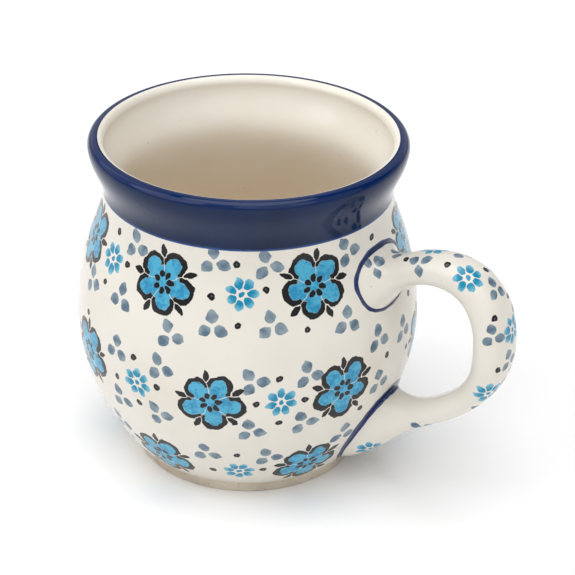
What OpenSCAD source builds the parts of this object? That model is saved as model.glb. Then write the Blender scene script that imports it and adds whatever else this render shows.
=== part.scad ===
// Round-bellied stoneware mug with a cobalt rim band and an applied loop handle.
// The pot's axis is Z, the foot ring rests on Z = 0 and the handle reaches out along +X.

/* [Pot] */
// Height from the resting plane to the top of the lip
mug_h = 90; // [84:1:100]
// Outer diameter of the belly at its widest
belly_d = 90.2; // [86:0.2:96]
// Outer diameter of the neck at its narrowest
neck_d = 75.2; // [72:0.2:78]
// Outer diameter of the rounded lip
lip_d = 82.4; // [80:0.2:86]
// Thickness of the wall with its glaze
wall_t = 4.2; // [3.6:0.1:5]
// Thickness of the floor under the drink
floor_t = 5; // [4:0.2:7]

/* [Foot] */
// Outer diameter of the foot ring where it rests
foot_d = 59.6; // [54:0.2:62]
// Height of the bare foot ring
foot_h = 3.6; // [3:0.1:4]
// Width of the foot ring
foot_w = 4.6; // [3.6:0.1:6]
// Depth of the recess inside the foot ring
recess_h = 2.2; // [1.4:0.1:2.8]

/* [Glaze] */
// Thickness of the glaze coats
glaze_t = 0.35; // [0.25:0.05:0.5]
// Thickness of the slip that bonds the handle to the pot
slip_t = 0.6; // [0.5:0.05:0.8]
// Width of the cobalt line brushed round each handle root
line_w = 1.5; // [1:0.1:2]

/* [Handle] */
// Distance from the pot's axis to the outermost point of the handle's centreline
reach = 72.4; // [70:0.2:76]
// Height of the middle of the upper root
upper_z = 56.8; // [55:0.2:58]
// Height of the middle of the lower root
lower_z = 15.6; // [15.4:0.2:17]
// Thickness of the handle near its upper root
upper_t = 7.8; // [7:0.1:9]
// Thickness of the handle at its outermost point
outer_t = 9.5; // [8.6:0.1:10.6]
// Thickness of the handle near its lower root
lower_t = 6.6; // [6:0.1:8]
// Width of the handle as a share of its thickness
width_share = 1.38; // [1.3:0.02:1.5]
// Height of the flared upper root
upper_root_h = 20.8; // [19:0.1:22]
// Height of the flared lower root
lower_root_h = 22.5; // [21:0.1:23]
// Width of the flared roots
root_w = 24; // [22:0.1:25]
// How far the lower root stands to the left of the upper one
lean = 2.6; // [0:0.1:3]

/* [Hidden] */

clay = "#b9ac97";
ivory = "#ebe5d9";
cobalt = "#16234f";
line_blue = "#2b3a78";
slip_grey = "#cfc7b8";

// Points round a turned surface
turn_n = 96;

// The belly is widest below the middle, and the neck is five sixths of the way up.
belly_r = belly_d / 2;
belly_z = mug_h * 4 / 9;
neck_r = neck_d / 2;
neck_z = mug_h * 5 / 6 + 0.5;
lip_r = lip_d / 2;
lip_round = wall_t / 2;
lip_z = mug_h - lip_round;
foot_r = foot_d / 2;
foot_in_r = foot_r - foot_w;
// How much the foot ring widens towards its top
foot_taper = 0.6;
foot_top_r = foot_r + foot_taper;
// Rounding of the foot ring's resting edges
foot_round = 0.7;
// How far the rolled lower edge of the glaze stands out past the foot ring
glaze_roll = 0.5;
// Bare margin between the base glaze and the foot ring
base_margin = 0.6;
floor_z = recess_h + floor_t;
// Radius of the flat middle of the floor
floor_r = 8;
// Straight steps in each curve of the outline, and in each glaze's part of the lip
curve_steps = 14;
lip_steps = 7;
// How far round the lip the cobalt reaches: 0 is outside, 90 the crest and 180 inside.
crest_turn = 105;
// How far the slip stands out of the glazed surface
slip_out = slip_t - glaze_t;

// The outside of the pot, bottom to top, then the inside, top to bottom. Each is a Bezier
// curve: its ends lie on the pot, and the two points between say which way it leaves them.
foot_to_belly = [[foot_top_r + glaze_roll, foot_h], [foot_top_r + 6.5, foot_h + 6],
    [belly_r, belly_z - 15], [belly_r, belly_z]];
belly_to_neck = [[belly_r, belly_z], [belly_r, belly_z + 18.5],
    [neck_r, neck_z - 6.5], [neck_r, neck_z]];
neck_to_lip = [[neck_r, neck_z], [neck_r, neck_z + 4.5], [lip_r, lip_z - 4], [lip_r, lip_z]];
lip_to_neck = [[lip_r - wall_t, lip_z], [lip_r - wall_t, lip_z - 4],
    [neck_r - wall_t, neck_z + 4.5], [neck_r - wall_t, neck_z]];
neck_to_belly = [[neck_r - wall_t, neck_z], [neck_r - wall_t, neck_z - 7],
    [belly_r - wall_t, belly_z + 19], [belly_r - wall_t, belly_z]];
belly_to_floor = [[belly_r - wall_t, belly_z], [belly_r - wall_t, belly_z - 22],
    [floor_r + 22, floor_z], [floor_r, floor_z]];

function mix(a, b, t) = a + (b - a) * t;
function bezier(p, t) = let (u = 1 - t)
    u * u * u * p[0] + 3 * u * u * t * p[1] + 3 * u * t * t * p[2] + t * t * t * p[3];
// A curve's points; the first is left out where the line before has already drawn it.
function curve(p, first = 1) = [for (i = [first:curve_steps]) bezier(p, i / curve_steps)];
function arc(middle, r, from, to, steps, first = 0) = [for (i = [first:steps])
    middle + r * [cos(mix(from, to, i / steps)), sin(mix(from, to, i / steps))]];
// Moves a line of points sideways, away from the clay when the distance is positive.
function shift_line(line, d) = [for (i = [0:len(line) - 1])
    let (a = line[max(i - 1, 0)], b = line[min(i + 1, len(line) - 1)], t = (b - a) / norm(b - a))
    line[i] + d * [t[1], -t[0]]];
function slice(line, from, to) = [for (i = [from:to]) line[i]];
function reverse(line) = [for (i = [len(line) - 1:-1:0]) line[i]];

lip_middle = [lip_r - lip_round, lip_z];
outer_line = concat(curve(foot_to_belly, 0), curve(belly_to_neck), curve(neck_to_lip),
    arc(lip_middle, lip_round, 0, crest_turn, lip_steps, 1));
inner_line = concat(arc(lip_middle, lip_round, crest_turn, 180, lip_steps, 1), curve(lip_to_neck),
    curve(neck_to_belly), curve(belly_to_floor), [[0, floor_z]]);
skin_line = concat(outer_line, inner_line);
neck_i = 2 * curve_steps;
crest_i = len(outer_line) - 1;
floor_i = len(skin_line) - 1;

// The glazed surface between two of its points, as a coat between two depths.
module coat(from, to, depth, height) {
    rotate_extrude($fn = turn_n)
        polygon(concat(slice(shift_line(skin_line, height), from, to),
            reverse(slice(shift_line(skin_line, depth), from, to))));
}

// Everything inside the outside of the pot, moved out by a distance.
module pot_plug(out) {
    rotate_extrude($fn = turn_n)
        polygon(concat([[0, -1], [foot_top_r, -1]], slice(shift_line(skin_line, out), 0, neck_i),
            [[0, neck_z]]));
}

module body() {
    color(clay)
        rotate_extrude($fn = turn_n)
            polygon(concat(shift_line(skin_line, -glaze_t),
                [[0, recess_h], [foot_in_r, recess_h]],
                arc([foot_in_r + foot_round, foot_round], foot_round, 180, 270, 4),
                arc([foot_r - foot_round, foot_round], foot_round, -90, 0, 4),
                [[foot_top_r, foot_h]]));
}

module outer_glaze() {
    color(ivory)
        difference() {
            coat(0, neck_i, -glaze_t, 0);
            root(upper_root, 0);
            root(lower_root, 0);
        }
}

module rim_band() {
    color(cobalt)
        coat(neck_i, crest_i, -glaze_t, 0);
}

module liner_glaze() {
    color(ivory)
        coat(crest_i, floor_i, -glaze_t, 0);
}

module base_glaze() {
    color(ivory)
        translate([0, 0, recess_h - glaze_t])
            cylinder(h = glaze_t, r = foot_in_r - base_margin, $fn = turn_n);
}

// The handle's centreline: two Bezier curves in the XZ plane that meet at its outermost point,
// which lies a little below the upper root.
outer_drop = 6.8;
outer_z = upper_z - outer_drop;
upper_arm = [[37.7, upper_z], [50.2, upper_z + 14.8], [reach, upper_z + 16.4], [reach, outer_z]];
lower_arm = [[reach, outer_z], [reach, outer_z - 11.6], [reach - 6, lower_z + 9.6], [31, lower_z]];
// Rings along the handle, and points round each ring
stations = 40;
ring_n = 28;
// How strongly the rings crowd together towards the roots
crowding = 0.1;
// Shares of the centreline over which the arm thickens, and then thins again
thickens = [0.1, 0.45];
thins = [0.5, 0.8];
// Share of the centreline over which each root's flare dies away, and how sharply
upper_flare = 0.062;
lower_flare = 0.075;
flare_power = 2.3;
// Share of the centreline over which the rings turn from upright to square
turn_share = 0.085;
// A ring is an oval; below 1 this squares its sides a little
oval_power = 0.85;
// Stations that each root runs over
root_stations = 9;
upper_root = [0, root_stations];
lower_root = [stations - root_stations, stations];

function centre(u) = u < 0.5 ? bezier(upper_arm, 2 * u) : bezier(lower_arm, 2 * u - 1);
function station_u(s) = s / stations - crowding * sin(360 * s / stations);
function ease(span, u) = let (c = (u - span[0]) / (span[1] - span[0]), t = min(max(c, 0), 1))
    t * t * (3 - 2 * t);
function flare(u) = u < 0.5 ? exp(-pow(u / upper_flare, flare_power))
    : exp(-pow((1 - u) / lower_flare, flare_power));
function arm_t(u) = u < 0.5 ? mix(upper_t, outer_t, ease(thickens, u))
    : mix(outer_t, lower_t, ease(thins, u));
function root_h(u) = u < 0.5 ? upper_root_h : lower_root_h;
function thickness(u) = mix(arm_t(u), root_h(u), flare(u));
function width(u) = mix(arm_t(u) * width_share, root_w, flare(u));
function uprightness(u) = exp(-pow(min(u, 1 - u) / turn_share, 2));
// Across the handle within its plane: square to the centreline, and upright at the roots.
function across(u) = let (step = 0.002, a = centre(max(u - step, 0)), b = centre(min(u + step, 1)),
    t = (b - a) / norm(b - a), square_to = [-t[1], t[0]], upright = [0, u < 0.5 ? 1 : -1],
    n = mix(square_to, upright, uprightness(u))) n / norm(n);
function oval(c) = sign(c) * pow(abs(c), oval_power);
function ring(u, grow) = let (c = centre(u), n = across(u), side = lean * (u - 0.5),
    half_t = thickness(u) / 2 + grow, half_w = width(u) / 2 + grow)
    [for (k = [0:ring_n - 1]) let (a = 360 * k / ring_n,
        r = c + n * half_t * oval(cos(a))) [r[0], side + half_w * oval(sin(a)), r[1]]];

// The handle between two of its rings, grown or shrunk evenly.
module sweep(from, to, grow) {
    rings = [for (s = [from:to]) ring(station_u(s), grow)];
    last = to - from;
    points = [for (r = rings) each r];
    sides = [for (s = [0:last - 1], k = [0:ring_n - 1]) let (a = s * ring_n + k,
        b = s * ring_n + (k + 1) % ring_n) each [[a, b, b + ring_n], [a, b + ring_n, a + ring_n]]];
    ends = [[for (k = [ring_n - 1:-1:0]) k], [for (k = [0:ring_n - 1]) last * ring_n + k]];
    polyhedron(points, concat(sides, ends), convexity = 6);
}

module root(span, grow) {
    sweep(span[0], span[1], grow);
}

module handle_core() {
    color(clay)
        difference() {
            sweep(0, stations, -glaze_t);
            pot_plug(slip_out);
        }
}

module handle_glaze() {
    color(ivory)
        difference() {
            sweep(0, stations, 0);
            sweep(0, stations, -glaze_t);
            pot_plug(slip_out);
        }
}

// The layer of slip between the bare clay of the pot and the handle.
module slip_joint(span) {
    color(slip_grey)
        intersection() {
            coat(0, neck_i, -glaze_t, slip_out);
            root(span, 0);
        }
}

module upper_slip_joint() {
    slip_joint(upper_root);
}

module lower_slip_joint() {
    slip_joint(lower_root);
}

// The cobalt line lies on the pot's glaze in the crease round a root.
module joint_line(span) {
    color(line_blue)
        difference() {
            intersection() {
                coat(0, neck_i, 0, slip_out);
                root(span, line_w);
            }
            root(span, 0);
        }
}

module upper_joint_line() {
    joint_line(upper_root);
}

module lower_joint_line() {
    joint_line(lower_root);
}

body();
outer_glaze();
rim_band();
liner_glaze();
base_glaze();
handle_core();
handle_glaze();
upper_slip_joint();
lower_slip_joint();
upper_joint_line();
lower_joint_line();
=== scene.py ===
import math
import random

import bmesh
import bpy
import numpy as np
from mathutils import Matrix, Vector


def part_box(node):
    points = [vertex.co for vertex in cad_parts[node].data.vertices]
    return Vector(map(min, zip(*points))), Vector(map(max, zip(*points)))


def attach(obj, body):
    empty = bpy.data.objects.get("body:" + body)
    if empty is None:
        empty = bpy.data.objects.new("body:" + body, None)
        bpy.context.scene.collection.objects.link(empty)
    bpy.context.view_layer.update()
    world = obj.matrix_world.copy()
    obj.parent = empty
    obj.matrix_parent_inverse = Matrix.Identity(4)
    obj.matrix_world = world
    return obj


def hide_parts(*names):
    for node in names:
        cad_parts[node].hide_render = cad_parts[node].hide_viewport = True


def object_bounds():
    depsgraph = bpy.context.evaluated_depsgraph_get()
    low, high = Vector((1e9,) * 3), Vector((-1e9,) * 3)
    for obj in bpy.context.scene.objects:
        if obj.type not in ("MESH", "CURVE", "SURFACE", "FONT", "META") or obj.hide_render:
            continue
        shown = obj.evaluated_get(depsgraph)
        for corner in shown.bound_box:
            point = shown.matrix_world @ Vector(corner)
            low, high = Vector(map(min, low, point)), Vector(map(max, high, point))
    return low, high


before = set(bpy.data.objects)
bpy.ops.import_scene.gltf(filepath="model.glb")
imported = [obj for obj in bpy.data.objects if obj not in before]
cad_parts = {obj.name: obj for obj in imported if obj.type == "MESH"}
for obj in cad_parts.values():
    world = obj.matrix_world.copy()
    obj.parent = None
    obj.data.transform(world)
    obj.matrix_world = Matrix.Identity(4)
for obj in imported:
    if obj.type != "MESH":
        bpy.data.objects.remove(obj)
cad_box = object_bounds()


# ---- Camera -------------------------------------------------------------------------------
# A long lens looks down into the mug from the front, with the handle to the right.
# It is aimed half way up the pot, a little towards the handle.
mm = 0.001
view_azimuth = math.radians(30.8)
view_elevation = math.radians(28.64)
view_distance = 531.3 * mm
camera_roll = math.radians(0.99)
aim_aside = 10.5 * mm
aim_up = 0.3 * mm

to_camera = Vector((
    math.sin(view_azimuth) * math.cos(view_elevation),
    -math.cos(view_azimuth) * math.cos(view_elevation),
    math.sin(view_elevation),
))
to_right = Vector((math.cos(view_azimuth), math.sin(view_azimuth), 0))
aim = to_right * aim_aside + Vector((0, 0, cad_box[1].z / 2 + aim_up))
camera_data = bpy.data.cameras.new("camera")
camera_data.sensor_width = 36
camera_data.lens = 125.2
camera = bpy.data.objects.new("camera", camera_data)
camera.matrix_world = (
    Matrix.Translation(aim + to_camera * view_distance)
    @ to_camera.to_track_quat("Z", "Y").to_matrix().to_4x4()
    @ Matrix.Rotation(camera_roll, 4, "Z")
)
bpy.context.scene.collection.objects.link(camera)
bpy.context.scene.camera = camera


# ---- Floor and light ----------------------------------------------------------------------
# A white table in a white tent. Most light falls from one large lamp overhead, and a ring of
# soft lamps round the tent fills in, strongest from the left. The table is plain white board.
floor_side = 12.0
tent_light = 0.47
overhead_light = 1.63
side_lights = (
    ("back_left", -155, 0.33),
    ("left", -110, 0.46),
    ("front_left", -65, 1.04),
    ("front", -22, 0.30),
    ("front_right", 22, 0.66),
    ("right", 65, 0.34),
    ("back_right", 155, 0.32),
)
overhead_lift = 86
side_lift = 38
lamp_spread = 50


def calc(tree, operation, *values):
    """One Math node. A value is a number or another node's result."""
    node = tree.nodes.new("ShaderNodeMath")
    node.operation = operation
    for socket, value in zip(node.inputs, values):
        if isinstance(value, (int, float)):
            socket.default_value = value
        else:
            tree.links.new(value, socket)
    return node.outputs[0]


def ease(tree, value, start, end):
    """Smoothly from 0 at start to 1 at end; start may be the larger of the two."""
    node = tree.nodes.new("ShaderNodeMapRange")
    node.interpolation_type = "SMOOTHSTEP"
    rising = start < end
    tree.links.new(value, node.inputs["Value"])
    node.inputs["From Min"].default_value = min(start, end)
    node.inputs["From Max"].default_value = max(start, end)
    node.inputs["To Min"].default_value = 0 if rising else 1
    node.inputs["To Max"].default_value = 1 if rising else 0
    return node.outputs["Result"]


def split_xyz(tree, vector):
    """The three parts of a vector."""
    node = tree.nodes.new("ShaderNodeSeparateXYZ")
    tree.links.new(vector, node.inputs[0])
    return node.outputs


scene = bpy.context.scene
scene.view_settings.view_transform = "Standard"
studio = bpy.data.worlds.new("studio")
scene.world = studio
studio.use_nodes = True
room = studio.node_tree
looking = room.nodes.new("ShaderNodeTexCoord").outputs["Generated"]
tent_wall = ease(room, split_xyz(room, looking)[2], 0.38, 0.22)
tent_cloth = room.nodes["Background"]
room.links.new(calc(room, "MULTIPLY", tent_wall, tent_light), tent_cloth.inputs["Strength"])
tent_cloth.inputs["Color"].default_value = (1, 1, 1, 1)


def soft_light(name, azimuth, elevation, spread, strength):
    """A broad light; azimuth is from the camera's own side and spread is in degrees."""
    turn = view_azimuth + math.radians(azimuth)
    lift = math.radians(elevation)
    away = Vector((
        math.sin(turn) * math.cos(lift),
        -math.cos(turn) * math.cos(lift),
        math.sin(lift),
    ))
    light_data = bpy.data.lights.new(name, "SUN")
    light_data.angle = math.radians(spread)
    light_data.energy = strength
    light = bpy.data.objects.new(name, light_data)
    light.rotation_mode = "QUATERNION"
    light.rotation_quaternion = away.to_track_quat("Z", "Y")
    scene.collection.objects.link(light)


soft_light("overhead_light", 0, overhead_lift, lamp_spread, overhead_light)
for side, azimuth, strength in side_lights:
    soft_light(side + "_light", azimuth, side_lift, lamp_spread, strength)

floor_mesh = bpy.data.meshes.new("floor")
floor_shape = bmesh.new()
bmesh.ops.create_grid(floor_shape, x_segments=8, y_segments=8, size=floor_side / 2)
floor_shape.to_mesh(floor_mesh)
floor_shape.free()
floor = bpy.data.objects.new("floor", floor_mesh)
scene.collection.objects.link(floor)

table_paint = bpy.data.materials.new("white table")
table_paint.use_nodes = True
table_shader = table_paint.node_tree.nodes["Principled BSDF"]
table_shader.inputs["Base Color"].default_value = (0.94, 0.94, 0.94, 1)
table_shader.inputs["Roughness"].default_value = 0.7
table_shader.inputs["Specular IOR Level"].default_value = 0.1
floor_mesh.materials.append(table_paint)


# ---- Clay body ----------------------------------------------------------------------------
# The pot itself is thrown from buff stoneware clay. Glaze covers all of it but the foot ring,
# which is wiped bare so that it can't stick to the kiln shelf, and fires matt and sandy.
buff = (0.60, 0.53, 0.43, 1)
buff_dark = (0.47, 0.40, 0.31, 1)
grit_dark = (0.20, 0.15, 0.10, 1)


def scale_to(tree, value, low, high):
    """Brings a value of 0 to 1 into another range."""
    return calc(tree, "MULTIPLY_ADD", value, high - low, low)


def blend_colour(tree, share, first, second):
    """Mixes two colours, each a plain colour or another node's result."""
    node = tree.nodes.new("ShaderNodeMix")
    node.data_type = "RGBA"
    for socket, value in ((node.inputs[0], share), (node.inputs[6], first), (node.inputs[7], second)):
        if isinstance(value, (int, float, tuple)):
            socket.default_value = value
        else:
            tree.links.new(value, socket)
    return node.outputs[2]


def noise(tree, place, scale, detail=2.0, roughness=0.5):
    """A noise texture's value; scale is in features per metre unless place is in other units."""
    node = tree.nodes.new("ShaderNodeTexNoise")
    node.inputs["Scale"].default_value = scale
    node.inputs["Detail"].default_value = detail
    node.inputs["Roughness"].default_value = roughness
    tree.links.new(place, node.inputs["Vector"])
    return node


def new_group(name, ins, outs):
    """An empty shader node group with named sockets; returns it with its two end nodes."""
    group = bpy.data.node_groups.new(name, "ShaderNodeTree")
    for socket_name, kind in ins:
        group.interface.new_socket(name=socket_name, in_out="INPUT", socket_type="NodeSocket" + kind)
    for socket_name, kind in outs:
        group.interface.new_socket(name=socket_name, in_out="OUTPUT", socket_type="NodeSocket" + kind)
    return group, group.nodes.new("NodeGroupInput"), group.nodes.new("NodeGroupOutput")


def place_group(tree, group, **values):
    """Puts a group into a material or another group; a value is a number or a result."""
    node = tree.nodes.new("ShaderNodeGroup")
    node.node_tree = group
    for name, value in values.items():
        socket = node.inputs[name.replace("_", " ")]
        if isinstance(value, (int, float, tuple)):
            socket.default_value = value
        else:
            tree.links.new(value, socket)
    return node


def new_material(name):
    """A material with a Principled shader; returns it with its tree, shader and CAD position."""
    material = bpy.data.materials.new(name)
    material.use_nodes = True
    tree = material.node_tree
    place = tree.nodes.new("ShaderNodeTexCoord").outputs["Object"]
    return material, tree, tree.nodes["Principled BSDF"], place


def give_bump(tree, shader, height, distance, strength=1.0):
    """Feeds a height in 0 to 1 to the shader's normal; distance is the relief in metres."""
    bump = tree.nodes.new("ShaderNodeBump")
    bump.inputs["Distance"].default_value = distance
    bump.inputs["Strength"].default_value = strength
    tree.links.new(height, bump.inputs["Height"])
    tree.links.new(bump.outputs["Normal"], shader.inputs["Normal"])


def finish_node(node_name, material):
    """Gives a CAD node that stays in sight its material."""
    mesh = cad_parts[node_name].data
    mesh.materials.clear()
    mesh.materials.append(material)


# Specks of iron and grit in fired clay: round, scattered, of several sizes.
speck_group, ends_in, ends_out = new_group(
    "scattered specks",
    [("Place", "Vector"), ("Scale", "Float"), ("Size", "Float")],
    [("Mask", "Float")],
)
cells = speck_group.nodes.new("ShaderNodeTexVoronoi")
speck_group.links.new(ends_in.outputs["Place"], cells.inputs["Vector"])
speck_group.links.new(ends_in.outputs["Scale"], cells.inputs["Scale"])
cell_pick = speck_group.nodes.new("ShaderNodeSeparateColor")
speck_group.links.new(cells.outputs["Color"], cell_pick.inputs["Color"])
speck_size = calc(speck_group, "MULTIPLY", cell_pick.outputs[0], ends_in.outputs["Size"])
speck_gap = calc(speck_group, "SUBTRACT", speck_size, cells.outputs["Distance"])
speck_here = calc(speck_group, "GREATER_THAN", cell_pick.outputs[1], 0.72)
speck_mask = calc(speck_group, "MULTIPLY", ease(speck_group, speck_gap, 0.0, 0.05), speck_here)
speck_group.links.new(speck_mask, ends_out.inputs["Mask"])

bare_clay, tree, shader, place = new_material("bare stoneware clay")
tone = noise(tree, place, 90, 4).outputs["Fac"]
sand = noise(tree, place, 2600, 3, 0.7).outputs["Fac"]
specks = place_group(tree, speck_group, Place=place, Scale=900, Size=0.42).outputs["Mask"]
clay_colour = blend_colour(tree, ease(tree, tone, 0.35, 0.68), buff_dark, buff)
clay_colour = blend_colour(tree, calc(tree, "MULTIPLY", specks, 0.4), clay_colour, grit_dark)
tree.links.new(clay_colour, shader.inputs["Base Color"])
tree.links.new(scale_to(tree, sand, 0.62, 0.92), shader.inputs["Roughness"])
clay_height = calc(tree, "SUBTRACT", sand, calc(tree, "MULTIPLY", specks, 0.6))
give_bump(tree, shader, clay_height, 0.08 * mm)

for node_name in ("body", "handle_core"):
    finish_node(node_name, bare_clay)


# ---- Stamped outer glaze ------------------------------------------------------------------
# The outside of the pot from the foot to the cobalt band: clear glaze over a decoration that
# is stamped and brushed on by hand in rows: five-petal flowers, daisies, sprigs and dots.
glaze_t = 0.35 * mm
wall_t = 4.2 * mm
rim_low, rim_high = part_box("rim_band")
coat_low, coat_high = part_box("outer_glaze")
mug_top = rim_high.z
belly_r = coat_high.y
belly_z = mug_top * 4 / 9
neck_z = rim_low.z
lip_r = rim_high.y
lip_round = wall_t / 2
lip_z = mug_top - lip_round
foot_z = coat_low.z
height_slack = 0.3 * mm
# A stamp's colour may reach this far past its own size
stamp_margin = 1.5 * mm


def radius_near(node_name, height):
    """How far a CAD node reaches from the pot's axis at about one height."""
    reach = 0.0
    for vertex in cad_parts[node_name].data.vertices:
        if abs(vertex.co.z - height) < height_slack:
            reach = max(reach, math.hypot(vertex.co.x, vertex.co.y))
    return reach


neck_r = radius_near("rim_band", neck_z)
skirt_r = radius_near("outer_glaze", foot_z)


def bezier(points, t):
    """A point of a cubic Bezier curve."""
    s = 1 - t
    weights = (s ** 3, 3 * s * s * t, 3 * s * t * t, t ** 3)
    return Vector((
        sum(w * p[0] for w, p in zip(weights, points)),
        sum(w * p[1] for w, p in zip(weights, points)),
    ))


def curve_line(points, steps, first=1):
    """Points along a Bezier curve; the first is left out where another curve ends on it."""
    return [bezier(points, i / steps) for i in range(first, steps + 1)]


def shift_line(line, distance):
    """Moves a line of points square to itself, into the clay when the distance is negative."""
    moved = []
    for i, point in enumerate(line):
        along = (line[min(i + 1, len(line) - 1)] - line[max(i - 1, 0)]).normalized()
        moved.append(point + Vector((along.y, -along.x)) * distance)
    return moved


foot_to_belly = [
    (skirt_r, foot_z),
    (skirt_r + 6.0 * mm, foot_z + 6.0 * mm),
    (belly_r, belly_z - 15 * mm),
    (belly_r, belly_z),
]
belly_to_neck = [
    (belly_r, belly_z),
    (belly_r, belly_z + 18.5 * mm),
    (neck_r, neck_z - 6.5 * mm),
    (neck_r, neck_z),
]
outer_line = curve_line(foot_to_belly, 48, 0) + curve_line(belly_to_neck, 44)


def turned(name, loop, around):
    """Turns a closed loop of (radius, height) points about Z into a smooth closed piece."""
    shape = bmesh.new()
    rings = []
    for k in range(around):
        angle = 2 * math.pi * k / around
        turn = (math.cos(angle), math.sin(angle))
        rings.append([shape.verts.new((p.x * turn[0], p.x * turn[1], p.y)) for p in loop])
    for k in range(around):
        ring, following = rings[k], rings[(k + 1) % around]
        for i in range(len(loop)):
            j = (i + 1) % len(loop)
            shape.faces.new((ring[i], following[i], following[j], ring[j]))
    return finished(name, shape)


def finished(name, shape):
    """Welds, orients and smooths a bmesh, keeps its real edges sharp and makes it an object."""
    bmesh.ops.remove_doubles(shape, verts=shape.verts, dist=0.001 * mm)
    bmesh.ops.recalc_face_normals(shape, faces=shape.faces)
    for face in shape.faces:
        face.smooth = True
    for edge in shape.edges:
        edge.smooth = edge.calc_face_angle(0) < math.radians(40)
    mesh = bpy.data.meshes.new(name)
    shape.to_mesh(mesh)
    shape.free()
    piece = bpy.data.objects.new(name, mesh)
    scene.collection.objects.link(piece)
    return piece


def coat_loop(line, inner_step=4):
    """A glaze coat's closed outline: its face, then its underside with fewer points."""
    under = shift_line(line, -glaze_t)
    kept = under[::-1][::inner_step]
    if kept[-1] != under[0]:
        kept.append(under[0])
    return line + kept


stamped_coat = turned("stamped_outer_glaze", coat_loop(outer_line), 288)
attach(stamped_coat, "root")
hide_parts("outer_glaze")


def outside_at(azimuth, height):
    """A point on the outside of the pot with its unit vectors across, up and out."""
    i = max(k for k in range(len(outer_line) - 1) if outer_line[k].y <= height)
    low, high = outer_line[i], outer_line[i + 1]
    share = (height - low.y) / (high.y - low.y)
    radius = low.x + (high.x - low.x) * share
    slope = (high - low).normalized()
    turn = math.radians(azimuth)
    outward = Vector((math.cos(turn), math.sin(turn), 0))
    across = Vector((-math.sin(turn), math.cos(turn), 0))
    up = outward * slope.x + Vector((0, 0, slope.y))
    return outward * radius + Vector((0, 0, height)), across, up, across.cross(up)


rng = random.Random(7)
SEED_STEPS = 64


def stamp(motifs, kind, frame_at, size, spin=0.0, scale=1.0):
    """Adds one stamp at a place on the skin, turned and scaled."""
    middle, across, up, out = frame_at
    turn = math.radians(spin)
    motifs.append({
        "kind": kind,
        "middle": middle,
        "x": (across * math.cos(turn) + up * math.sin(turn)) / scale,
        "y": (up * math.cos(turn) - across * math.sin(turn)) / scale,
        "out": out,
        "size": size * scale,
        "scale": scale,
        "seed": rng.randrange(6, 58) / SEED_STEPS,
    })


def write_stamps(piece, layer, motifs):
    """Writes, for every face, where each of its corners lies in its nearest stamp's own frame.

    The layer is a vector in each face corner: millimetres across and up from the stamp's
    middle, and the stamp's kind plus its seed, or 0 where there is no stamp."""
    mesh = piece.data
    vertices = np.zeros(len(mesh.vertices) * 3)
    mesh.vertices.foreach_get("co", vertices)
    vertices = vertices.reshape(-1, 3)
    corner_vertex = np.zeros(len(mesh.loops), dtype=np.int64)
    mesh.loops.foreach_get("vertex_index", corner_vertex)
    totals = np.zeros(len(mesh.polygons), dtype=np.int64)
    mesh.polygons.foreach_get("loop_total", totals)
    centres = np.zeros(len(mesh.polygons) * 3)
    mesh.polygons.foreach_get("center", centres)
    centres = centres.reshape(-1, 3)
    normals = np.zeros(len(mesh.polygons) * 3)
    mesh.polygons.foreach_get("normal", normals)
    normals = normals.reshape(-1, 3)

    middles = np.array([m["middle"][:] for m in motifs])
    outs = np.array([m["out"][:] for m in motifs])
    sizes = np.array([m["size"] for m in motifs])
    gaps = np.linalg.norm(centres[:, None, :] - middles[None, :, :], axis=2) - sizes
    gaps[normals @ outs.T < 0.1] = 1.0
    nearest = gaps.argmin(axis=1)
    marked = gaps.min(axis=1) < stamp_margin

    owner = np.repeat(nearest, totals)
    offset = vertices[corner_vertex] - middles[owner]
    x_axes = np.array([m["x"][:] for m in motifs])[owner]
    y_axes = np.array([m["y"][:] for m in motifs])[owner]
    across = (offset * x_axes).sum(axis=1)
    upward = (offset * y_axes).sum(axis=1)
    flat = np.hypot(across, upward) + 1e-9
    scales = np.array([m["scale"] for m in motifs])[owner]
    stretch = np.linalg.norm(offset, axis=1) / scales / flat / mm
    labels = np.array([m["kind"] + m["seed"] for m in motifs])[owner]
    values = np.stack((across * stretch, upward * stretch, labels), axis=1)
    values[~np.repeat(marked, totals)] = 0
    mesh.attributes.new(layer, "FLOAT_VECTOR", "CORNER")
    mesh.attributes[layer].data.foreach_set("vector", values.astype(np.float32).ravel())


FLOWER, DAISY = 1, 2
SPRIG, DOT = 1, 2
flower_size = 9.6 * mm
daisy_size = 4.4 * mm
sprig_size = 4.7 * mm
dot_size = 1.0 * mm

# Each row: its height, where its flowers stand and where its daisies stand, in degrees round
# the pot from the handle. Every place was chosen one by one, so the gaps are not quite even.
rows = [
    (65.8 * mm, (-135, -89, -34, 23, 77, 128, 178), (-115, -60, 50, 103, 154, -159)),
    (37.0 * mm, (-123, -69.7, -25.4, 22, 74, 124, 176), (-96, -47, 48, 99, 150, -153)),
    (11.8 * mm, (-94, -33, 35, 92, 149, -153), (-61, 63, 120, 178, -123)),
]
# Where the four sprigs and four dots stand round a daisy, across and up from its middle
sprig_places = ((-7.0, 7.0), (7.2, 6.8), (-7.2, -8.6), (6.4, -8.0))
dot_places = ((-7.0, -0.6), (6.6, 0.5), (-0.8, 7.0), (-0.6, -7.0))
# Sprigs and dots that fill the gaps by the handle and under the top row, in degrees and mm
stray_sprigs = ((-84, 53), (-133, 57), (-18, 71.5), (16, 70), (-23, 55), (-10, 47), (5, 44.5),
    (-9, 34), (-21, 20.5), (30, 52), (84, 53), (135, 54), (-177, 54), (14, 33), (21, 20))
stray_dots = ((-4, 72), (-10, 51.5), (-6, 41), (-38, 55.5), (-16.5, 28), (-18.5, 14),
    (-124, 47.5), (12, 52), (39, 55), (90, 47), (141, 47), (-168, 46), (8, 38))
skirt_limit = foot_z + 3.5 * mm
band_limit = neck_z - 1.1 * mm

blooms = []
fillers = []


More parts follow.
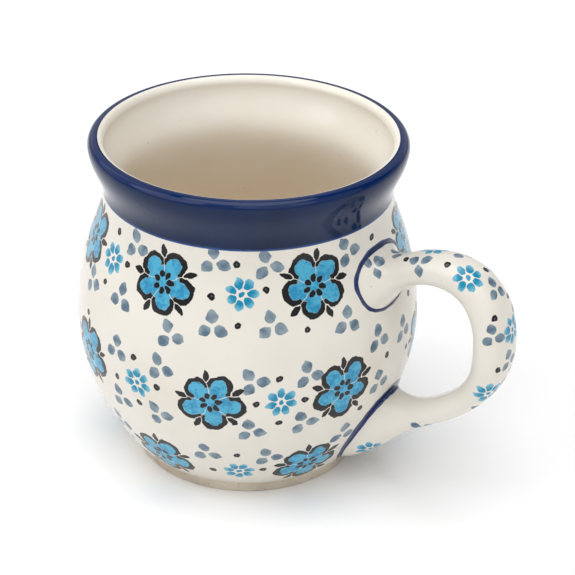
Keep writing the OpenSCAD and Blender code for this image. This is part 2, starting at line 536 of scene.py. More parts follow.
def has_room(spot, size):
    """Whether a sprig or dot of one size would stay off the flowers and off its neighbours."""
    for bloom in blooms:
        off = (bloom["middle"] - spot).length
        if bloom["kind"] == FLOWER and off < flower_size + size * 0.4:
            return False
    for filler in fillers:
        if (filler["middle"] - spot).length < (filler["size"] + size) * 0.85:
            return False
    return True


def add_filler(kind, turn, height, size):
    """Stamps a sprig or dot on the pot unless it would run into something."""
    at = outside_at(turn, height)
    spin = rng.uniform(-8, 38)
    if has_room(at[0], size):
        stamp(fillers, kind, at, size, spin)


for row_height, flower_turns, daisy_turns in rows:
    for turn in flower_turns:
        height = row_height + rng.uniform(-0.6, 0.6) * mm
        stamp(blooms, FLOWER, outside_at(turn, height), flower_size, rng.uniform(-12, 12))
for row_height, flower_turns, daisy_turns in rows:
    for turn in daisy_turns:
        height = row_height + rng.uniform(-0.8, 0.8) * mm
        at = outside_at(turn, height)
        stamp(blooms, DAISY, at, daisy_size, rng.uniform(0, 51))
        degrees_per_mm = math.degrees(1 * mm / at[0].xy.length)
        for places, kind, size in ((sprig_places, SPRIG, sprig_size), (dot_places, DOT, dot_size)):
            for across_mm, up_mm in places:
                across_mm += rng.uniform(-0.7, 0.7)
                up_mm += rng.uniform(-0.7, 0.7)
                place_z = height + up_mm * mm
                if skirt_limit < place_z < band_limit:
                    add_filler(kind, turn + across_mm * degrees_per_mm, place_z, size)
for turn, up_mm in stray_sprigs:
    add_filler(SPRIG, turn, up_mm * mm, sprig_size)
for turn, up_mm in stray_dots:
    add_filler(DOT, turn, up_mm * mm, dot_size)
write_stamps(stamped_coat, "blooms", blooms)
write_stamps(stamped_coat, "fillers", fillers)


def read_stamp(group, at):
    """Splits a stamp vector, after the wander of a hand, into radius and angle."""
    x, y = split_xyz(group, at)[:2]
    radius = calc(group, "SQRT", calc(group, "ADD", calc(group, "MULTIPLY", x, x),
        calc(group, "MULTIPLY", y, y)))
    return radius, calc(group, "ARCTAN2", y, x)


def fold(group, angle, count, offset=0.0):
    """Folds the angle into one of count equal sectors: its number, and the angle in it."""
    sector_angle = 2 * math.pi / count
    turns = calc(group, "DIVIDE", calc(group, "ADD", angle, offset), sector_angle)
    sector = calc(group, "FLOOR", calc(group, "ADD", turns, 0.5))
    inside = calc(group, "MULTIPLY", calc(group, "SUBTRACT", turns, sector), sector_angle)
    return calc(group, "FLOORED_MODULO", sector, count), inside


def leaf(group, radius, angle, middle, half_length, half_width, power, soft, point=0.0):
    """An oval along a sector's axis: power below 1 makes it fuller, point sharpens its tip."""
    along = calc(group, "MULTIPLY", radius, calc(group, "COSINE", angle))
    aside = calc(group, "ABSOLUTE", calc(group, "MULTIPLY", radius, calc(group, "SINE", angle)))
    t = calc(group, "DIVIDE", calc(group, "SUBTRACT", along, middle), half_length)
    room = calc(group, "MAXIMUM", calc(group, "SUBTRACT", 1.0, calc(group, "MULTIPLY", t, t)), 0.0)
    width = calc(group, "MULTIPLY", calc(group, "POWER", room, power), half_width)
    if point:
        narrowing = calc(group, "MAXIMUM", calc(group, "SUBTRACT", 1.0, t), 0.0)
        width = calc(group, "MULTIPLY", width, calc(group, "POWER", narrowing, point))
    gap = calc(group, "SUBTRACT", width, aside)
    return ease(group, gap, 0.0, soft), t


def largest(group, first, *others):
    """The largest of several masks."""
    for other in others:
        first = calc(group, "MAXIMUM", first, other)
    return first


def product(group, first, *others):
    """The product of several masks."""
    for other in others:
        first = calc(group, "MULTIPLY", first, other)
    return first


# The wander of a hand-held brush or stamp: a stamp's coordinates, pushed about a little,
# and a label that tells its kind from its seed.
wander_group, ends_in, ends_out = new_group(
    "hand wander",
    [("Stamp", "Vector"), ("Sway", "Float")],
    [("At", "Vector"), ("Kind", "Float"), ("Seed", "Float"), ("Bleed", "Float"), ("Press", "Float")],
)
parts = split_xyz(wander_group, ends_in.outputs["Stamp"])
kind = calc(wander_group, "FLOOR", parts[2])
seed = calc(wander_group, "FRACT", parts[2])
seed = calc(wander_group, "ROUND", calc(wander_group, "MULTIPLY", seed, SEED_STEPS))
flat_place = wander_group.nodes.new("ShaderNodeCombineXYZ")
wander_group.links.new(parts[0], flat_place.inputs[0])
wander_group.links.new(parts[1], flat_place.inputs[1])
wander_group.links.new(calc(wander_group, "MULTIPLY", seed, 1.7), flat_place.inputs[2])
sway = noise(wander_group, flat_place.outputs[0], 0.42, 3, 0.55)
bleed = noise(wander_group, flat_place.outputs[0], 1.1, 3, 0.6)
press = noise(wander_group, flat_place.outputs[0], 0.3, 1, 0.4)
centred = wander_group.nodes.new("ShaderNodeVectorMath")
centred.operation = "SUBTRACT"
centred.inputs[1].default_value = (0.5, 0.5, 0.5)
wander_group.links.new(sway.outputs["Color"], centred.inputs[0])
pushed = wander_group.nodes.new("ShaderNodeVectorMath")
pushed.operation = "SCALE"
wander_group.links.new(centred.outputs[0], pushed.inputs[0])
wander_group.links.new(ends_in.outputs["Sway"], pushed.inputs["Scale"])
placed = wander_group.nodes.new("ShaderNodeVectorMath")
placed.operation = "ADD"
wander_group.links.new(ends_in.outputs["Stamp"], placed.inputs[0])
wander_group.links.new(pushed.outputs[0], placed.inputs[1])
wander_group.links.new(placed.outputs[0], ends_out.inputs["At"])
wander_group.links.new(kind, ends_out.inputs["Kind"])
wander_group.links.new(seed, ends_out.inputs["Seed"])
wander_group.links.new(bleed.outputs["Fac"], ends_out.inputs["Bleed"])
wander_group.links.new(press.outputs["Fac"], ends_out.inputs["Press"])

# A flower: five sponged petals inside brushed outlines, a sepal in each notch between them,
# and a ring of seven dots round the middle.
flower_group, ends_in, ends_out = new_group(
    "five-petal flower",
    [("At", "Vector"), ("Seed", "Float"), ("Press", "Float")],
    [("Ink", "Float"), ("Petal", "Float")],
)
petal_middle = 5.1
petal_r = 2.75
outline_w = 0.76
gap_w = 0.05
half_sector = math.radians(36)
sepal_middle = 7.75
radius, angle = read_stamp(flower_group, ends_in.outputs["At"])
petal_number, a = fold(flower_group, angle, 5, math.radians(90))
pick = flower_group.nodes.new("ShaderNodeTexWhiteNoise")
pick.noise_dimensions = "2D"
pick_place = flower_group.nodes.new("ShaderNodeCombineXYZ")
flower_group.links.new(petal_number, pick_place.inputs[0])
flower_group.links.new(ends_in.outputs["Seed"], pick_place.inputs[1])
flower_group.links.new(pick_place.outputs[0], pick.inputs["Vector"])
reach = calc(flower_group, "DIVIDE", radius, scale_to(flower_group, pick.outputs["Value"], 0.95, 1.1))
lobe_x = calc(flower_group, "SUBTRACT",
    calc(flower_group, "MULTIPLY", reach, calc(flower_group, "COSINE", a)), petal_middle)
lobe_y = calc(flower_group, "ABSOLUTE",
    calc(flower_group, "MULTIPLY", reach, calc(flower_group, "SINE", a)))
lobe_r = calc(flower_group, "SQRT", calc(flower_group, "ADD",
    calc(flower_group, "MULTIPLY", lobe_x, lobe_x), calc(flower_group, "MULTIPLY", lobe_y, lobe_y)))
lobe_turn = calc(flower_group, "ARCTAN2", lobe_y, lobe_x)
brush_w = scale_to(flower_group, ends_in.outputs["Press"], outline_w - 0.5, outline_w + 0.5)
line_gap = calc(flower_group, "SUBTRACT", brush_w,
    calc(flower_group, "ABSOLUTE", calc(flower_group, "SUBTRACT", lobe_r, petal_r)))
side_gap = calc(flower_group, "MULTIPLY", radius, calc(flower_group, "SINE",
    calc(flower_group, "SUBTRACT", half_sector, calc(flower_group, "ABSOLUTE", a))))
between = ease(flower_group, side_gap, gap_w - 0.05, gap_w + 0.08)
outline = product(flower_group, ease(flower_group, line_gap, 0.0, 0.14), between,
    ease(flower_group, lobe_turn, 2.15, 2.0))
ring_angle = fold(flower_group, angle, 7)[1]
ring_dots = leaf(flower_group, radius, ring_angle, 2.1, 0.95, 0.82, 0.42, 0.12)[0]
sepal_turn = calc(flower_group, "SUBTRACT", half_sector, calc(flower_group, "ABSOLUTE", a))
sepals = leaf(flower_group, radius, sepal_turn, sepal_middle, 1.75, 0.88, 0.7, 0.12)[0]
sepal_gap = leaf(flower_group, radius, sepal_turn, sepal_middle, 2.05, 1.12, 0.7, 0.12)[0]
outline = product(flower_group, outline, calc(flower_group, "SUBTRACT", 1.0, sepal_gap))
ink = largest(flower_group, outline, ring_dots, sepals)
lobe_fill = largest(flower_group, ease(flower_group, lobe_r, petal_r, petal_r - 0.15),
    ease(flower_group, radius, 4.9, 4.7))
open_gap = largest(flower_group, between, ease(flower_group, radius, 2.7, 2.4))
petal = product(flower_group, lobe_fill, open_gap, calc(flower_group, "SUBTRACT", 1.0, ink))
flower_group.links.new(ink, ends_out.inputs["Ink"])
flower_group.links.new(petal, ends_out.inputs["Petal"])

# A daisy: seven sponged drops round a dot, deeper in colour towards the middle.
daisy_group, ends_in, ends_out = new_group(
    "seven-petal daisy",
    [("At", "Vector"), ("Bleed", "Float")],
    [("Mask", "Float"), ("Depth", "Float")],
)
radius, angle = read_stamp(daisy_group, ends_in.outputs["At"])
drop_angle = fold(daisy_group, angle, 7)[1]
drops = leaf(daisy_group, radius, drop_angle, 2.8, 1.5, 1.22, 0.5, 0.28)[0]
taper = ease(daisy_group, calc(daisy_group, "SUBTRACT",
    calc(daisy_group, "MULTIPLY", radius, 0.44),
    calc(daisy_group, "ABSOLUTE", calc(daisy_group, "MULTIPLY", radius,
        calc(daisy_group, "SINE", drop_angle)))), 0.0, 0.2)
heart = ease(daisy_group, radius, 0.78, 0.6)
daisy_mask = largest(daisy_group, calc(daisy_group, "MULTIPLY", drops, taper), heart)
daisy_depth = calc(daisy_group, "MULTIPLY_ADD", ends_in.outputs["Bleed"], 0.9,
    calc(daisy_group, "MULTIPLY", ease(daisy_group, radius, 4.3, 2.2), 0.85))
daisy_group.links.new(daisy_mask, ends_out.inputs["Mask"])
daisy_group.links.new(calc(daisy_group, "SUBTRACT", daisy_depth, 0.25), ends_out.inputs["Depth"])

# A sprig: three leaves pressed with a sponge, each mottled and deepest in its middle.
sprig_group, ends_in, ends_out = new_group(
    "three-leaf sprig",
    [("At", "Vector"), ("Bleed", "Float"), ("Press", "Float")],
    [("Mask", "Float"), ("Depth", "Float")],
)
radius, angle = read_stamp(sprig_group, ends_in.outputs["At"])
leaf_angle = fold(sprig_group, angle, 3, math.radians(-90))[1]
leaves, t = leaf(sprig_group, radius, leaf_angle, 2.45, 1.9, 1.58, 0.75, 0.2, 0.12)
mottle = calc(sprig_group, "MULTIPLY_ADD", ends_in.outputs["Press"], 2.4,
    calc(sprig_group, "MULTIPLY", ends_in.outputs["Bleed"], 0.9))
leaf_heart = ease(sprig_group, calc(sprig_group, "ABSOLUTE", t), 0.9, 0.1)
sprig_depth = calc(sprig_group, "MULTIPLY_ADD", leaf_heart, 0.5, mottle)
sprig_group.links.new(leaves, ends_out.inputs["Mask"])
sprig_group.links.new(calc(sprig_group, "SUBTRACT", sprig_depth, 1.45), ends_out.inputs["Depth"])

# A dot pressed with a stick end: black, with a grey middle painted in as a glint.
dot_group, ends_in, ends_out = new_group(
    "pressed dot", [("At", "Vector")], [("Mask", "Float"), ("Glint", "Float")]
)
radius, angle = read_stamp(dot_group, ends_in.outputs["At"])
dot_group.links.new(ease(dot_group, radius, 0.98, 0.8), ends_out.inputs["Mask"])
dot_group.links.new(ease(dot_group, radius, 0.34, 0.05), ends_out.inputs["Glint"])

# The glaze over everything: glossy, with the shallow ripple of a poured coat and pinholes.
glaze_group, ends_in, ends_out = new_group(
    "poured glaze",
    [("Place", "Vector"), ("Smooth", "Float"), ("Rough", "Float")],
    [("Roughness", "Float"), ("Height", "Float"), ("Pooling", "Float")],
)
place = ends_in.outputs["Place"]
ripple = noise(glaze_group, place, 110, 2).outputs["Fac"]
peel = noise(glaze_group, place, 700, 2).outputs["Fac"]
pooling = noise(glaze_group, place, 45, 3).outputs["Fac"]
pinholes = place_group(glaze_group, speck_group, Place=place, Scale=260, Size=0.075).outputs["Mask"]
spread = calc(glaze_group, "SUBTRACT", ends_in.outputs["Rough"], ends_in.outputs["Smooth"])
gloss = calc(glaze_group, "MULTIPLY_ADD", peel, spread, ends_in.outputs["Smooth"])
height = calc(glaze_group, "ADD", ripple, calc(glaze_group, "MULTIPLY", peel, 0.08))
height = calc(glaze_group, "SUBTRACT", height, calc(glaze_group, "MULTIPLY", pinholes, 0.35))
gloss = calc(glaze_group, "ADD", gloss, calc(glaze_group, "MULTIPLY", pinholes, 0.3))
glaze_group.links.new(gloss, ends_out.inputs["Roughness"])
glaze_group.links.new(height, ends_out.inputs["Height"])
glaze_group.links.new(pooling, ends_out.inputs["Pooling"])

# Clear glaze over pale clay, before any decoration: warmer where it pools, with a few iron
# specks that have bled through from the clay.
ground_group, ends_in, ends_out = new_group(
    "ivory ground",
    [("Place", "Vector"), ("Pooling", "Float"), ("Thin", "Color"), ("Pooled", "Color")],
    [("Colour", "Color")],
)
ground = blend_colour(ground_group, ease(ground_group, ends_in.outputs["Pooling"], 0.35, 0.8),
    ends_in.outputs["Thin"], ends_in.outputs["Pooled"])
iron = place_group(ground_group, speck_group, Place=ends_in.outputs["Place"], Scale=330, Size=0.11)
iron_share = calc(ground_group, "MULTIPLY", iron.outputs["Mask"], 0.55)
ground = blend_colour(ground_group, iron_share, ground, (0.30, 0.20, 0.12, 1))
ground_group.links.new(ground, ends_out.inputs["Colour"])

ivory_light = (0.735, 0.70, 0.635, 1)
ivory_warm = (0.69, 0.645, 0.565, 1)
ink_black = (0.004, 0.005, 0.006, 1)
ink_thin = (0.012, 0.017, 0.022, 1)
petal_blue = (0.075, 0.385, 0.57, 1)
petal_deep = (0.010, 0.21, 0.41, 1)
daisy_pale = (0.21, 0.50, 0.62, 1)
daisy_deep = (0.004, 0.225, 0.38, 1)
sprig_pale = (0.22, 0.295, 0.345, 1)
sprig_deep = (0.045, 0.105, 0.17, 1)
# Grey of the glint painted in each dot's middle
dot_glint_grey = (0.11, 0.11, 0.11, 1)


def stamped_glaze(name):
    """Clear glaze with the stamped decoration that a mesh's two layers of stamps place."""
    material, tree, shader, place = new_material(name)
    coat = place_group(tree, glaze_group, Place=place, Smooth=0.07, Rough=0.17)
    masks = {}
    for layer, sway in (("blooms", 1.5), ("fillers", 1.25)):
        read = tree.nodes.new("ShaderNodeAttribute")
        read.attribute_name = layer
        masks[layer] = place_group(tree, wander_group, Stamp=read.outputs["Vector"], Sway=sway)

    def of_kind(layer, number, mask):
        same = calc(tree, "COMPARE", masks[layer].outputs["Kind"], number, 0.5)
        return calc(tree, "MULTIPLY", same, mask)

    bloom, filler = masks["blooms"], masks["fillers"]
    flower = place_group(tree, flower_group, At=bloom.outputs["At"], Seed=bloom.outputs["Seed"],
        Press=bloom.outputs["Press"])
    daisy = place_group(tree, daisy_group, At=bloom.outputs["At"], Bleed=bloom.outputs["Bleed"])
    sprig = place_group(tree, sprig_group, At=filler.outputs["At"], Bleed=filler.outputs["Bleed"],
        Press=filler.outputs["Press"])
    dot = place_group(tree, dot_group, At=filler.outputs["At"])
    ink = of_kind("blooms", FLOWER, flower.outputs["Ink"])
    petal = of_kind("blooms", FLOWER, flower.outputs["Petal"])
    daisies = of_kind("blooms", DAISY, daisy.outputs["Mask"])
    sprigs = of_kind("fillers", SPRIG, sprig.outputs["Mask"])
    dots = of_kind("fillers", DOT, dot.outputs["Mask"])

    colour = place_group(tree, ground_group, Place=place, Pooling=coat.outputs["Pooling"],
        Thin=ivory_light, Pooled=ivory_warm).outputs["Colour"]
    sprig_colour = blend_colour(tree, sprig.outputs["Depth"], sprig_pale, sprig_deep)
    colour = blend_colour(tree, calc(tree, "MULTIPLY", sprigs, 0.95), colour, sprig_colour)
    # Painted glint: a grey middle in each black dot
    dot_colour = blend_colour(tree, dot.outputs["Glint"], ink_black, dot_glint_grey)
    colour = blend_colour(tree, dots, colour, dot_colour)
    daisy_colour = blend_colour(tree, daisy.outputs["Depth"], daisy_pale, daisy_deep)
    colour = blend_colour(tree, daisies, colour, daisy_colour)
    blot = calc(tree, "ADD", bloom.outputs["Bleed"], calc(tree, "MULTIPLY", bloom.outputs["Press"], 0.8))
    wash = ease(tree, blot, 0.75, 1.12)
    petal_colour = blend_colour(tree, calc(tree, "MULTIPLY", wash, 0.85), petal_blue, petal_deep)
    colour = blend_colour(tree, petal, colour, petal_colour)
    ink_colour = blend_colour(tree, ease(tree, bloom.outputs["Bleed"], 0.5, 0.85), ink_black, ink_thin)
    colour = blend_colour(tree, ink, colour, ink_colour)
    tree.links.new(colour, shader.inputs["Base Color"])

    pigment = largest(tree, ink, dots, calc(tree, "MULTIPLY", petal, 0.6))
    tree.links.new(calc(tree, "MULTIPLY_ADD", pigment, 0.05, coat.outputs["Roughness"]),
        shader.inputs["Roughness"])
    relief = calc(tree, "MULTIPLY_ADD", pigment, 0.12, coat.outputs["Height"])
    give_bump(tree, shader, relief, 0.12 * mm)
    shader.inputs["IOR"].default_value = 1.5
    shader.inputs["Specular IOR Level"].default_value = 0.38
    return material


stamped_finish = stamped_glaze("clear glaze over stamped decoration")
stamped_coat.data.materials.append(stamped_finish)


# ---- Cobalt band --------------------------------------------------------------------------
# The neck and the outside of the lip are dipped in a deep cobalt glaze. It is dark and wet
# looking. A paler blue line along its lower edge is painted highlight, and a more saturated
# blue on the lip's crest is painted reflection of dark surroundings above.
cobalt_deep = (0.0010, 0.007, 0.035, 1)
cobalt_mid = (0.0025, 0.016, 0.064, 1)
# Paler blue of the painted highlight along the band's lower edge
cobalt_edge_highlight = (0.03, 0.085, 0.27, 1)
# More saturated blue painted on the lip's crest as its reflection of dark surroundings
painted_crest_blue = (0.0015, 0.016, 0.09, 1)
crest_turn = 105
edge_w = 0.55 * mm

neck_to_lip = [
    (neck_r, neck_z),
    (neck_r, neck_z + 4.5 * mm),
    (lip_r, lip_z - 4 * mm),
    (lip_r, lip_z),
]


def lip_arc(start, end, steps, first):
    """Part of the lip's rounding, from 0 degrees outside to 180 degrees inside."""
    middle = Vector((lip_r - lip_round, lip_z))
    points = []
    for i in range(first, steps + 1):
        angle = math.radians(start + (end - start) * i / steps)
        points.append(middle + Vector((math.cos(angle), math.sin(angle))) * lip_round)
    return points


band_line = curve_line(neck_to_lip, 24, 0) + lip_arc(0, crest_turn, 16, 1)
cobalt_band = turned("cobalt_band", coat_loop(band_line), 288)
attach(cobalt_band, "root")
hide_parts("rim_band")

cobalt_glaze, tree, shader, place = new_material("deep cobalt glaze")
coat = place_group(tree, glaze_group, Place=place, Smooth=0.02, Rough=0.08)
height_here = split_xyz(tree, place)[2]
edge_wobble = noise(tree, place, 320, 2).outputs["Fac"]
above_edge = calc(tree, "SUBTRACT", height_here, neck_z)
above_edge = calc(tree, "MULTIPLY_ADD", edge_wobble, -0.5 * mm, above_edge)
# Painted highlight: a paler blue line along the band's lower edge
painted_edge_highlight = ease(tree, above_edge, edge_w, -0.25 * mm)
# Painted reflection: a more saturated blue on the lip's crest, for the dark surroundings it reflects
crest = ease(tree, height_here, mug_top - 2.4 * mm, mug_top - 0.6 * mm)
crest = calc(tree, "MULTIPLY", crest, scale_to(tree, edge_wobble, 0.5, 1.0))
cobalt_colour = blend_colour(tree, ease(tree, coat.outputs["Pooling"], 0.3, 0.75), cobalt_mid, cobalt_deep)
cobalt_colour = blend_colour(tree, crest, cobalt_colour, painted_crest_blue)
cobalt_colour = blend_colour(tree, painted_edge_highlight, cobalt_colour, cobalt_edge_highlight)
tree.links.new(cobalt_colour, shader.inputs["Base Color"])
tree.links.new(coat.outputs["Roughness"], shader.inputs["Roughness"])
give_bump(tree, shader, coat.outputs["Height"], 0.06 * mm)
shader.inputs["IOR"].default_value = 1.5
shader.inputs["Specular IOR Level"].default_value = 0.27
cobalt_band.data.materials.append(cobalt_glaze)


# ---- Liner --------------------------------------------------------------------------------
# The inside is lined with plain clear glaze from the crest of the lip to the floor. It is
# poured in and out. Deeper in, it is painted darker and browner towards the floor: painted
# shade and the warm light bounced round inside the mug.
floor_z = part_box("liner_glaze")[0].z + glaze_t
floor_r = 8 * mm
liner_light = (0.835, 0.795, 0.715, 1)
liner_warm = (0.81, 0.76, 0.665, 1)
# Brown of the painted shade deep inside the mug
liner_depth_shade = (0.745, 0.575, 0.36, 1)

lip_to_neck = [
    (lip_r - wall_t, lip_z),
    (lip_r - wall_t, lip_z - 4 * mm),
    (neck_r - wall_t, neck_z + 4.5 * mm),
    (neck_r - wall_t, neck_z),
]
neck_to_belly = [
    (neck_r - wall_t, neck_z),
    (neck_r - wall_t, neck_z - 7 * mm),
    (belly_r - wall_t, belly_z + 19 * mm),
    (belly_r - wall_t, belly_z),
]
belly_to_floor = [
    (belly_r - wall_t, belly_z),
    (belly_r - wall_t, belly_z - 22 * mm),
    (floor_r + 22 * mm, floor_z),
    (floor_r, floor_z),
]
liner_line = (
    lip_arc(crest_turn, 180, 12, 0)
    + curve_line(lip_to_neck, 20)
    + curve_line(neck_to_belly, 30)
    + curve_line(belly_to_floor, 36)
    + [Vector((0, floor_z))]
)
liner_coat = turned("clear_liner", coat_loop(liner_line), 192)
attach(liner_coat, "root")
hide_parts("liner_glaze")

clear_liner, tree, shader, place = new_material("clear liner glaze")
coat = place_group(tree, glaze_group, Place=place, Smooth=0.12, Rough=0.26)
height_here = split_xyz(tree, place)[2]
# Painted shade: the liner is painted darker and browner the deeper it lies in the mug
deep = ease(tree, height_here, mug_top * 0.85, mug_top * 0.2)
liner_colour = place_group(tree, ground_group, Place=place, Pooling=coat.outputs["Pooling"],
    Thin=liner_light, Pooled=liner_warm).outputs["Colour"]
liner_colour = blend_colour(tree, calc(tree, "MULTIPLY", deep, 0.8), liner_colour, liner_depth_shade)
tree.links.new(liner_colour, shader.inputs["Base Color"])
tree.links.new(coat.outputs["Roughness"], shader.inputs["Roughness"])
give_bump(tree, shader, coat.outputs["Height"], 0.12 * mm)
shader.inputs["IOR"].default_value = 1.5
liner_coat.data.materials.append(clear_liner)
finish_node("base_glaze", clear_liner)


# ---- Handle -------------------------------------------------------------------------------
# One pulled strap of clay, full in the middle and flared at both roots, glazed and stamped
# on its outer face like the pot. Both ends are pressed onto the pot with slip.
upper_z = 56.8 * mm
lower_z = 15.6 * mm
outer_z = upper_z - 6.8 * mm
upper_t, outer_t, lower_t = 7.8 * mm, 9.5 * mm, 6.6 * mm
width_share = 1.38
upper_root_h, lower_root_h, root_w = 20.8 * mm, 22.5 * mm, 24.0 * mm
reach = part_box("handle_glaze")[1].x - outer_t / 2
lean = 2.6 * mm
rings_along = 200
points_round = 96
# Share of the way over which each root's flare dies away, how sharply, and how far the rings
# stay upright; below 1 the oval's sides are squared a little
upper_flare = 0.062
lower_flare = 0.075
flare_power = 2.3
turn_share = 0.085
oval_power = 0.85
tangent_step = 0.002

upper_arm = [
    (37.7 * mm, upper_z),
    (50.2 * mm, upper_z + 14.8 * mm),
    (reach, upper_z + 16.4 * mm),
    (reach, outer_z),
]
lower_arm = [
    (reach, outer_z),
    (reach, outer_z - 11.6 * mm),
    (reach - 6 * mm, lower_z + 9.6 * mm),
    (31 * mm, lower_z),
]


def mix(a, b, t):
    """A value the share t of the way from a to b."""
    return a + (b - a) * t


def smooth_share(value, start, end):
    """How far a value has come from start to end, eased at both ends."""
    t = min(max((value - start) / (end - start), 0), 1)
    return t * t * (3 - 2 * t)


def handle_centre(u):
    """The handle's centreline: distance from the pot's axis, and height."""
    return bezier(upper_arm, 2 * u) if u < 0.5 else bezier(lower_arm, 2 * u - 1)


def handle_point(u, angle, grow=0.0):
    """A point of the handle's skin: u runs from the upper root to the lower one, and angle
    goes round from the outer face."""
    if u < 0.5:
        flare = math.exp(-((u / upper_flare) ** flare_power))
        root_h = upper_root_h
        arm_t = mix(upper_t, outer_t, smooth_share(u, 0.1, 0.45))
    else:
        flare = math.exp(-(((1 - u) / lower_flare) ** flare_power))
        root_h = lower_root_h
        arm_t = mix(outer_t, lower_t, smooth_share(u, 0.5, 0.8))
    half_t = mix(arm_t, root_h, flare) / 2 + grow
    half_w = mix(arm_t * width_share, root_w, flare) / 2 + grow
    after = handle_centre(min(u + tangent_step, 1))
    along = (after - handle_centre(max(u - tangent_step, 0))).normalized()
    upright = Vector((0, 1 if u < 0.5 else -1))
    uprightness = math.exp(-((min(u, 1 - u) / turn_share) ** 2))
    across = Vector((-along.y, along.x)).lerp(upright, uprightness).normalized()
    oval_x = math.copysign(abs(math.cos(angle)) ** oval_power, math.cos(angle))
    oval_y = math.copysign(abs(math.sin(angle)) ** oval_power, math.sin(angle))
    flat = handle_centre(u) + across * half_t * oval_x
    return Vector((flat.x, lean * (u - 0.5) + half_w * oval_y, flat.y))


def pot_radius(height):
    """Radius of the pot's outside at a height."""
    if height <= foot_z:
        return skirt_r
    if height >= neck_z:
        return neck_r
    return outside_at(0, height)[0].x


def clear_of_pot(u, angle, grow=0.0):
    """How far a point of the handle's skin stands out of the pot; negative inside it."""
    point = handle_point(u, angle, grow)
    return point.xy.length - pot_radius(point.z)


def root_share(angle, inside, outside, grow=0.0):
    """Where one line of the handle's skin leaves the pot, found by halving."""
    for _ in range(28):
        middle = (inside + outside) / 2
        if clear_of_pot(middle, angle, grow) < 0:
            inside = middle
        else:
            outside = middle
    return (inside + outside) / 2


handle_shape = bmesh.new()
handle_rings = []
starts = [root_share(2 * math.pi * k / points_round, 0.0, 0.2) for k in range(points_round)]
ends = [root_share(2 * math.pi * k / points_round, 1.0, 0.8) for k in range(points_round)]
for s in range(rings_along + 1):
    share = s / rings_along
    share = share - 0.1 * math.sin(2 * math.pi * share)
    ring = []
    for k in range(points_round):
        u = mix(starts[k], ends[k], share)
        ring.append(handle_shape.verts.new(handle_point(u, 2 * math.pi * k / points_round)))
    handle_rings.append(ring)
for s in range(rings_along):
    for k in range(points_round):
        j = (k + 1) % points_round
        a, b = handle_rings[s], handle_rings[s + 1]
        handle_shape.faces.new((a[k], a[j], b[j], b[k]))
for ring in (handle_rings[0], handle_rings[-1]):
    middle = sum((v.co for v in ring), Vector()) / points_round
    middle = middle * ((pot_radius(middle.z) - 0.1 * mm) / middle.xy.length)
    hub = handle_shape.verts.new(middle)
    for k in range(points_round):
        handle_shape.faces.new((ring[k], ring[(k + 1) % points_round], hub))
handle_coat = finished("stamped_handle", handle_shape)
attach(handle_coat, "root")
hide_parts("handle_glaze")


def on_handle(u, degrees):
    """A place on the handle's skin with its unit vectors across, along and out."""
    angle = math.radians(degrees)
    step = 0.004
    point = handle_point(u, angle)
    along = (handle_point(u - step, angle) - handle_point(u + step, angle)).normalized()
    across = (handle_point(u, angle + 0.05) - handle_point(u, angle - 0.05)).normalized()
    out = along.cross(across).normalized()
    if (point - handle_point(u, angle + math.pi)).dot(out) < 0:
        out = -out
    return point, across, along, out


# Along the outer face, from the upper root to the lower: share of the way, degrees round
handle_daisies = ((0.19, 26), (0.31, -39), (0.46, 2), (0.645, -40), (0.33, 72), (0.58, 56),
    (0.80, 14), (0.95, -40))
handle_sprigs = ((0.06, -40), (0.10, 14), (0.18, -47), (0.255, 30), (0.37, -2), (0.455, -60),
    (0.525, -6), (0.42, 52), (0.60, 14), (0.71, 34), (0.72, -6), (0.865, -34), (0.88, 36))
handle_dots = ((0.085, -52), (0.14, -28), (0.25, -34), (0.325, 16), (0.42, -44), (0.545, -42),
    (0.13, 44), (0.29, 52), (0.40, 24), (0.52, 26), (0.66, 2), (0.67, 56), (0.76, 50), (0.80, -12))
handle_scale = 0.83
handle_blooms = []
handle_fillers = []
for u, degrees in handle_daisies:
    stamp(handle_blooms, DAISY, on_handle(u, degrees), daisy_size, rng.uniform(0, 51), 0.92)
for u, degrees in handle_sprigs:
    stamp(handle_fillers, SPRIG, on_handle(u, degrees), sprig_size, rng.uniform(-40, 40),
        handle_scale)
for u, degrees in handle_dots:
    stamp(handle_fillers, DOT, on_handle(u, degrees), dot_size, rng.uniform(0, 90))
write_stamps(handle_coat, "blooms", handle_blooms)
write_stamps(handle_coat, "fillers", handle_fillers)
handle_coat.data.materials.append(stamped_finish)


# ---- Slip joints and cobalt lines ---------------------------------------------------------
# Slip, a paste of the same clay, bonds each root to the pot. A line of cobalt is brushed into
# the crease round it by hand, so it is wider in some places and washes out at its edges.
slip_pale = (0.62, 0.57, 0.48, 1)
slip_dark = (0.48, 0.42, 0.33, 1)
line_deep = (0.003, 0.009, 0.055, 1)
line_wash = (0.035, 0.075, 0.24, 1)

slip_finish, tree, shader, place = new_material("fired joining slip")
tone = noise(tree, place, 300, 3).outputs["Fac"]
grain = noise(tree, place, 3000, 2, 0.7).outputs["Fac"]
tree.links.new(blend_colour(tree, tone, slip_dark, slip_pale), shader.inputs["Base Color"])
tree.links.new(scale_to(tree, grain, 0.5, 0.75), shader.inputs["Roughness"])
give_bump(tree, shader, grain, 0.05 * mm)
for node_name in ("upper_slip_joint", "lower_slip_joint"):
    finish_node(node_name, slip_finish)

line_finish, tree, shader, place = new_material("brushed cobalt line")
coat = place_group(tree, glaze_group, Place=place, Smooth=0.08, Rough=0.18)
read = tree.nodes.new("ShaderNodeAttribute")
read.attribute_name = "brush"
brush_aside = split_xyz(tree, read.outputs["Vector"])[0]
streaks = noise(tree, place, 900, 3, 0.6).outputs["Fac"]
edge_wash = ease(tree, brush_aside, 0.45, 1.0)
wash_share = calc(tree, "MULTIPLY", calc(tree, "ADD", edge_wash, 0.25), ease(tree, streaks, 0.25, 0.75))
tree.links.new(blend_colour(tree, wash_share, line_deep, line_wash), shader.inputs["Base Color"])
tree.links.new(coat.outputs["Roughness"], shader.inputs["Roughness"])
give_bump(tree, shader, calc(tree, "MULTIPLY_ADD", streaks, 0.3, coat.outputs["Height"]), 0.08 * mm)


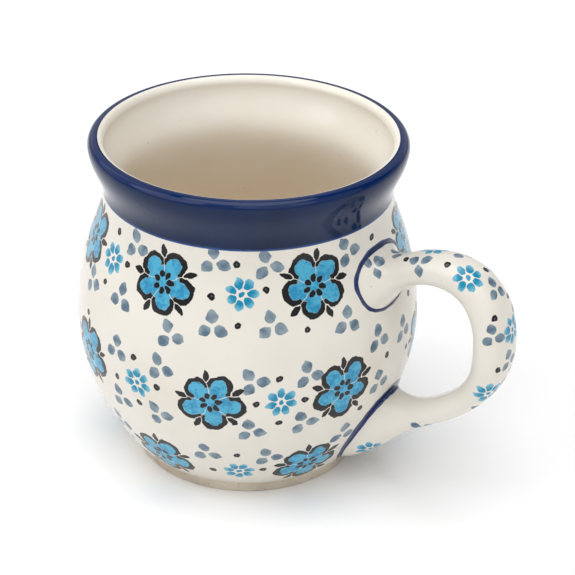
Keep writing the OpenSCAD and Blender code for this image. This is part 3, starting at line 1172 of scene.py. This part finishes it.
def brushed_line(name, node_name, inside, outside, pot_w, handle_w, seed):
    """A low bead of colour over the crease round one root: pot_w of it lies on the pot and
    handle_w on the handle. It is heaviest at the top, where the brush was first set down."""
    wave = random.Random(seed)
    phases = [wave.uniform(0, 2 * math.pi) for _ in range(3)]
    count = 192
    pot_edge = ((1.0, 0.0), (0.7, 0.08), (0.35, 0.13))
    handle_edge = ((0.35, 0.13), (0.7, 0.08), (1.0, 0.0))
    under_share, under_lift = 0.4, -0.15
    u_step = 0.002 if outside > inside else -0.002
    turns = [2 * math.pi * k / count for k in range(count)]
    creases = [root_share(angle, inside, outside) for angle in turns]
    heights = [handle_point(u, angle).z for u, angle in zip(creases, turns)]
    shape = bmesh.new()
    brush = shape.loops.layers.float_vector.new("brush")
    shares = {}
    rings = []
    for angle, u, height in zip(turns, creases, heights):
        sway = sum(math.sin(angle * n + p) for n, p in zip((3, 7, 17), phases)) / 3
        top_share = smooth_share(height, min(heights), max(heights))
        weight = (1 + 0.16 * sway) * mix(0.8, 1.35, top_share)
        crease = handle_point(u, angle)
        wide = handle_point(root_share(angle, inside, outside, pot_w), angle, pot_w)
        away = (wide - crease).normalized()
        u_per_m = u_step / (handle_point(u + u_step, angle) - crease).length
        ring = []
        for share, lift in pot_edge + ((0.0, 0.2),):
            point = crease + away * pot_w * weight * share
            point.xy = point.xy.normalized() * (pot_radius(point.z) + lift * mm)
            ring.append((point, share))
        for share, lift in handle_edge:
            far = u + u_per_m * handle_w * weight * share
            ring.append((handle_point(far, angle, lift * mm), share))
        far = u + u_per_m * handle_w * weight * under_share
        ring.append((handle_point(far, angle, under_lift * mm), 0))
        point = crease + away * pot_w * weight * under_share
        point.xy = point.xy.normalized() * (pot_radius(point.z) + under_lift * mm)
        ring.append((point, 0))
        vertices = []
        for point, share in ring:
            vertices.append(shape.verts.new(point))
            shares[vertices[-1]] = share
        rings.append(vertices)
    for k in range(count):
        ring, following = rings[k], rings[(k + 1) % count]
        for i in range(len(ring)):
            j = (i + 1) % len(ring)
            face = shape.faces.new((ring[i], following[i], following[j], ring[j]))
            for corner in face.loops:
                corner[brush] = Vector((shares[corner.vert], 0, 0))
    piece = finished(name, shape)
    piece.data.materials.append(line_finish)
    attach(piece, "root")
    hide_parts(node_name)


brushed_line("upper_cobalt_line", "upper_joint_line", 0.0, 0.2, 0.9 * mm, 0.35 * mm, 11)
brushed_line("lower_cobalt_line", "lower_joint_line", 1.0, 0.8, 1.5 * mm, 0.8 * mm, 23)
